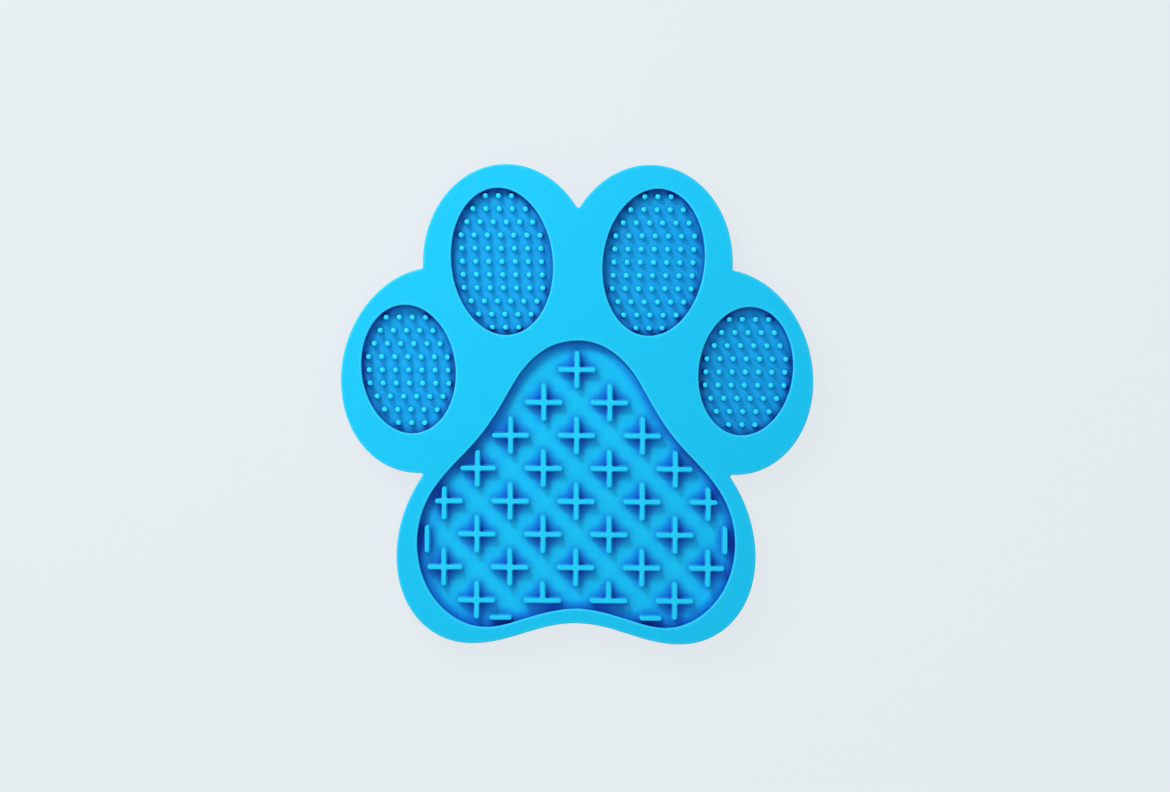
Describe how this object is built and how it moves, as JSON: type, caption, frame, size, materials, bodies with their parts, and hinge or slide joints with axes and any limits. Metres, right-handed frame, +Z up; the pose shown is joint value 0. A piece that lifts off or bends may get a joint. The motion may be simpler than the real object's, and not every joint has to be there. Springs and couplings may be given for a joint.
{
  "type": "lick mat",
  "caption": "Paw-shaped silicone lick mat with a raised rim, cross ribs in the pad well, nubs in the toe wells and suction cups underneath.",
  "frame": {"origin": "middle of the mat's outline, on the surface that its suction cups stand on", "axes": "+X to the right with the toes away from the viewer, +Y towards the toes, +Z up out of the wells"},
  "size_m": [0.2068, 0.2099, 0.0135],
  "materials": {
    "silicone": "satin, pigmented through"
  },
  "bodies": {
    "mat": {"base_sheet": "silicone", "rim_deck": "silicone", "pad_cross_ribs": "silicone", "pad_side_bars": "silicone", "pad_bottom_bars": "silicone", "inner_left_toe_nubs": "silicone", "inner_right_toe_nubs": "silicone", "outer_left_toe_nubs": "silicone", "outer_right_toe_nubs": "silicone"},
    "pad_top_cup": {"pad_top_cup": "silicone"},
    "pad_left_cup": {"pad_left_cup": "silicone"},
    "pad_right_cup": {"pad_right_cup": "silicone"},
    "pad_lower_left_cup": {"pad_lower_left_cup": "silicone"},
    "pad_lower_right_cup": {"pad_lower_right_cup": "silicone"},
    "inner_left_toe_cup": {"inner_left_toe_cup": "silicone"},
    "inner_right_toe_cup": {"inner_right_toe_cup": "silicone"},
    "outer_left_toe_cup": {"outer_left_toe_cup": "silicone"},
    "outer_right_toe_cup": {"outer_right_toe_cup": "silicone"}
  },
  "joints": [
    {"name": "pad_top_cup_flatten", "type": "slide", "parent": "mat", "child": "pad_top_cup", "axis": [0, 0, 1], "range_m": [0, 0.002], "deforming": ["pad_top_cup"]},
    {"name": "pad_left_cup_flatten", "type": "slide", "parent": "mat", "child": "pad_left_cup", "axis": [0, 0, 1], "range_m": [0, 0.002], "deforming": ["pad_left_cup"]},
    {"name": "pad_right_cup_flatten", "type": "slide", "parent": "mat", "child": "pad_right_cup", "axis": [0, 0, 1], "range_m": [0, 0.002], "deforming": ["pad_right_cup"]},
    {"name": "pad_lower_left_cup_flatten", "type": "slide", "parent": "mat", "child": "pad_lower_left_cup", "axis": [0, 0, 1], "range_m": [0, 0.002], "deforming": ["pad_lower_left_cup"]},
    {"name": "pad_lower_right_cup_flatten", "type": "slide", "parent": "mat", "child": "pad_lower_right_cup", "axis": [0, 0, 1], "range_m": [0, 0.002], "deforming": ["pad_lower_right_cup"]},
    {"name": "inner_left_toe_cup_flatten", "type": "slide", "parent": "mat", "child": "inner_left_toe_cup", "axis": [0, 0, 1], "range_m": [0, 0.002], "deforming": ["inner_left_toe_cup"]},
    {"name": "inner_right_toe_cup_flatten", "type": "slide", "parent": "mat", "child": "inner_right_toe_cup", "axis": [0, 0, 1], "range_m": [0, 0.002], "deforming": ["inner_right_toe_cup"]},
    {"name": "outer_left_toe_cup_flatten", "type": "slide", "parent": "mat", "child": "outer_left_toe_cup", "axis": [0, 0, 1], "range_m": [0, 0.002], "deforming": ["outer_left_toe_cup"]},
    {"name": "outer_right_toe_cup_flatten", "type": "slide", "parent": "mat", "child": "outer_right_toe_cup", "axis": [0, 0, 1], "range_m": [0, 0.002], "deforming": ["outer_right_toe_cup"]}
  ]
}
